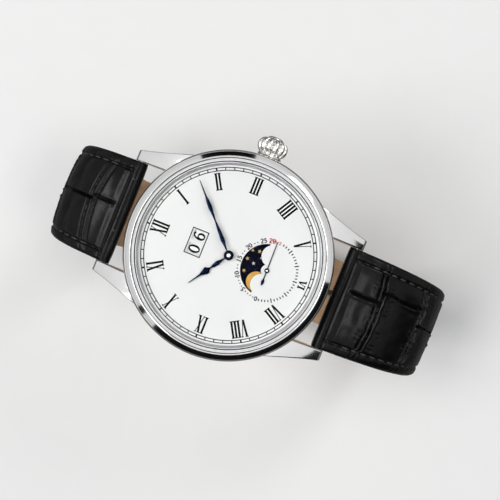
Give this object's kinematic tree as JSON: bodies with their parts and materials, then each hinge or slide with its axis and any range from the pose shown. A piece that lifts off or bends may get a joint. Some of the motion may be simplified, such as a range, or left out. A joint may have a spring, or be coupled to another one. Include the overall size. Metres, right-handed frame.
{
  "type": "wristwatch",
  "caption": "Round automatic dress watch with big date, small seconds and moon disc, on a padded leather strap with a pin buckle, unbuckled and standing.",
  "frame": {"origin": "middle of the case back's outer face, on the axis of the hands", "axes": "+Z out of the dial along the axis of the hands, +Y towards 12 o'clock, +X towards 3 o'clock, where the crown is"},
  "size_m": [0.0468, 0.0907, 0.0582],
  "materials": {
    "polished_steel": "mirror polished stainless steel",
    "brushed_steel": "satin stainless steel",
    "sapphire": "clear crystal, slightly domed",
    "black_rubber": "dull black sealing rubber",
    "white_nylon": "white nylon seal",
    "dial_white": "white lacquered brass, satin",
    "blued_steel": "heat-blued steel",
    "black_lacquer": "black lacquer",
    "rhodium_plate": "rhodium plated brass with fine stripes",
    "gilt_brass": "gilded brass wheels",
    "watch_steel": "hardened steel, fine finish",
    "ruby": "polished synthetic ruby",
    "disc_white": "matt white disc",
    "disc_navy": "dark blue disc with gilt moons and stars",
    "rotor_metal": "plated tungsten and brass rotor",
    "strap_leather": "black embossed leather, semi gloss",
    "lining_leather": "tan calf lining, matt"
  },
  "bodies": {
    "case": {"mid_case": "polished_steel", "bezel": "polished_steel", "crystal": "sapphire", "crystal_gasket": "white_nylon", "case_back": "brushed_steel", "back_window": "sapphire", "back_gasket": "black_rubber", "crown_tube": "brushed_steel", "movement_ring": "rhodium_plate", "flange_ring": "polished_steel", "dial": "dial_white", "date_window_frame": "black_lacquer", "main_plate": "rhodium_plate", "barrel_bridge": "rhodium_plate", "train_bridge": "rhodium_plate", "balance_cock": "rhodium_plate", "pallet_bridge": "rhodium_plate", "bridge_screws": "blued_steel", "jewels": "ruby", "casing_clamps": "watch_steel", "rotor_bearing": "watch_steel", "hairspring": "blued_steel", "spring_bar_12": "brushed_steel", "spring_bar_6": "brushed_steel"},
    "crown_slide": {"crown_gasket": "black_rubber"},
    "crown": {"crown": "polished_steel", "winding_stem": "watch_steel"},
    "winding_pinion": {"winding_pinion": "watch_steel"},
    "hour_hand": {"hour_hand": "blued_steel", "hour_wheel": "gilt_brass"},
    "minute_hand": {"minute_hand": "blued_steel", "cannon_pinion": "watch_steel", "centre_wheel": "gilt_brass"},
    "seconds_hand": {"seconds_hand": "blued_steel", "fourth_wheel": "gilt_brass"},
    "minute_wheel": {"minute_wheel": "gilt_brass"},
    "third_wheel": {"third_wheel": "gilt_brass"},
    "escape_wheel": {"escape_wheel": "watch_steel"},
    "pallet_fork": {"pallet_fork": "watch_steel"},
    "balance_wheel": {"balance_wheel": "gilt_brass"},
    "barrel": {"barrel": "gilt_brass"},
    "ratchet_wheel": {"ratchet_wheel": "watch_steel"},
    "crown_wheel": {"crown_wheel": "watch_steel"},
    "rotor": {"rotor": "rotor_metal"},
    "date_units_disc": {"date_units_disc": "disc_white"},
    "date_tens_disc": {"date_tens_disc": "disc_white"},
    "moon_disc": {"moon_disc": "disc_navy"},
    "strap_12": {"strap_12_leather": "strap_leather", "strap_12_lining": "lining_leather", "fixed_keeper": "strap_leather"},
    "strap_6": {"strap_6_leather": "strap_leather", "strap_6_lining": "lining_leather"},
    "free_keeper": {"free_keeper": "strap_leather"},
    "buckle": {"buckle_frame": "polished_steel", "buckle_spring_bar": "brushed_steel"},
    "tongue": {"buckle_tongue": "polished_steel"}
  },
  "joints": [
    {"name": "crown_pull", "type": "slide", "parent": "case", "child": "crown_slide", "axis": [1, 0, 0], "range_m": [0, 0.0016]},
    {"name": "crown_turn", "type": "hinge", "parent": "crown_slide", "child": "crown", "pos_m": [0.0213, 0, 0.005], "axis": [1, 0, 0], "continuous": true},
    {"name": "winding_pinion_turn", "type": "hinge", "parent": "case", "child": "winding_pinion", "pos_m": [0.011, 0, 0.005], "axis": [1, 0, 0], "continuous": true},
    {"name": "crown_wheel_turn", "type": "hinge", "parent": "case", "child": "crown_wheel", "pos_m": [0.0092, 0.0012, 0.003], "axis": [0, 0, 1], "continuous": true},
    {"name": "ratchet_turn", "type": "hinge", "parent": "case", "child": "ratchet_wheel", "pos_m": [0.0049, 0.00405, 0.003], "axis": [0, 0, 1], "continuous": true},
    {"name": "minute_turn", "type": "hinge", "parent": "case", "child": "minute_hand", "pos_m": [0, 0, 0.007], "axis": [0, 0, 1], "continuous": true},
    {"name": "hour_turn", "type": "hinge", "parent": "case", "child": "hour_hand", "pos_m": [0, 0, 0.007], "axis": [0, 0, 1], "continuous": true},
    {"name": "seconds_turn", "type": "hinge", "parent": "case", "child": "seconds_hand", "pos_m": [0, -0.00815, 0.007], "axis": [0, 0, 1], "continuous": true},
    {"name": "minute_wheel_turn", "type": "hinge", "parent": "case", "child": "minute_wheel", "pos_m": [-0.0032, 0.0024, 0.007], "axis": [0, 0, 1], "continuous": true},
    {"name": "third_wheel_turn", "type": "hinge", "parent": "case", "child": "third_wheel", "pos_m": [-0.0009, -0.00441, 0.007], "axis": [0, 0, 1], "continuous": true},
    {"name": "escape_wheel_turn", "type": "hinge", "parent": "case", "child": "escape_wheel", "pos_m": [-0.0031, -0.00955, 0.007], "axis": [0, 0, 1], "continuous": true},
    {"name": "barrel_turn", "type": "hinge", "parent": "case", "child": "barrel", "pos_m": [0.0049, 0.00405, 0.007], "axis": [0, 0, 1], "continuous": true},
    {"name": "date_units_turn", "type": "hinge", "parent": "case", "child": "date_units_disc", "pos_m": [0.0059, 0.00693, 0.007], "axis": [0, 0, 1], "continuous": true},
    {"name": "date_tens_turn", "type": "hinge", "parent": "case", "child": "date_tens_disc", "pos_m": [-0.0059, 0.00693, 0.007], "axis": [0, 0, 1], "continuous": true},
    {"name": "moon_turn", "type": "hinge", "parent": "case", "child": "moon_disc", "pos_m": [0, -0.00815, 0.007], "axis": [0, 0, 1], "continuous": true},
    {"name": "pallet_rock", "type": "hinge", "parent": "case", "child": "pallet_fork", "pos_m": [-0.0056, -0.0086, 0.0045], "axis": [0, 0, 1], "range_deg": [-5, 5]},
    {"name": "balance_swing", "type": "hinge", "parent": "case", "child": "balance_wheel", "pos_m": [-0.0083, -0.0065, 0.0035], "axis": [0, 0, 1], "range_deg": [-270, 270], "stiffness_Nm_per_rad": 0.0000006},
    {"name": "rotor_turn", "type": "hinge", "parent": "case", "child": "rotor", "pos_m": [0, 0, 0.002], "axis": [0, 0, 1], "continuous": true},
    {"name": "strap_12_swing", "type": "hinge", "parent": "case", "child": "strap_12", "pos_m": [0, 0.024, 0.0029], "axis": [1, 0, 0], "range_deg": [-45, 45]},
    {"name": "strap_6_swing", "type": "hinge", "parent": "case", "child": "strap_6", "pos_m": [0, -0.024, 0.0029], "axis": [1, 0, 0], "range_deg": [-45, 5]},
    {"name": "keeper_slide", "type": "slide", "parent": "strap_12", "child": "free_keeper", "axis": [0, -0.3746, -0.9272], "range_m": [-0.002, 0.008]},
    {"name": "buckle_swing", "type": "hinge", "parent": "strap_12", "child": "buckle", "pos_m": [0, 0.01105, -0.0409], "axis": [-1, 0, 0], "range_deg": [-60, 60]},
    {"name": "tongue_swing", "type": "hinge", "parent": "buckle", "child": "tongue", "pos_m": [0, 0.01105, -0.0409], "axis": [1, 0, 0], "range_deg": [0, 100]}
  ],
  "couplings": [
    {"joint": "winding_pinion_turn", "follows": "crown_turn", "ratio": 1},
    {"joint": "crown_wheel_turn", "follows": "crown_turn", "ratio": 0.46667},
    {"joint": "ratchet_turn", "follows": "crown_turn", "ratio": -0.35},
    {"joint": "hour_turn", "follows": "minute_turn", "ratio": 0.083333},
    {"joint": "minute_wheel_turn", "follows": "minute_turn", "ratio": -0.33333},
    {"joint": "barrel_turn", "follows": "minute_turn", "ratio": -0.14286},
    {"joint": "third_wheel_turn", "follows": "minute_turn", "ratio": -8},
    {"joint": "seconds_turn", "follows": "minute_turn", "ratio": 60},
    {"joint": "escape_wheel_turn", "follows": "minute_turn", "ratio": -600},
    {"joint": "date_units_turn", "follows": "minute_turn", "ratio": 0.0041667},
    {"joint": "date_tens_turn", "follows": "minute_turn", "ratio": 0.0010417},
    {"joint": "moon_turn", "follows": "minute_turn", "ratio": -0.00070552}
  ]
}
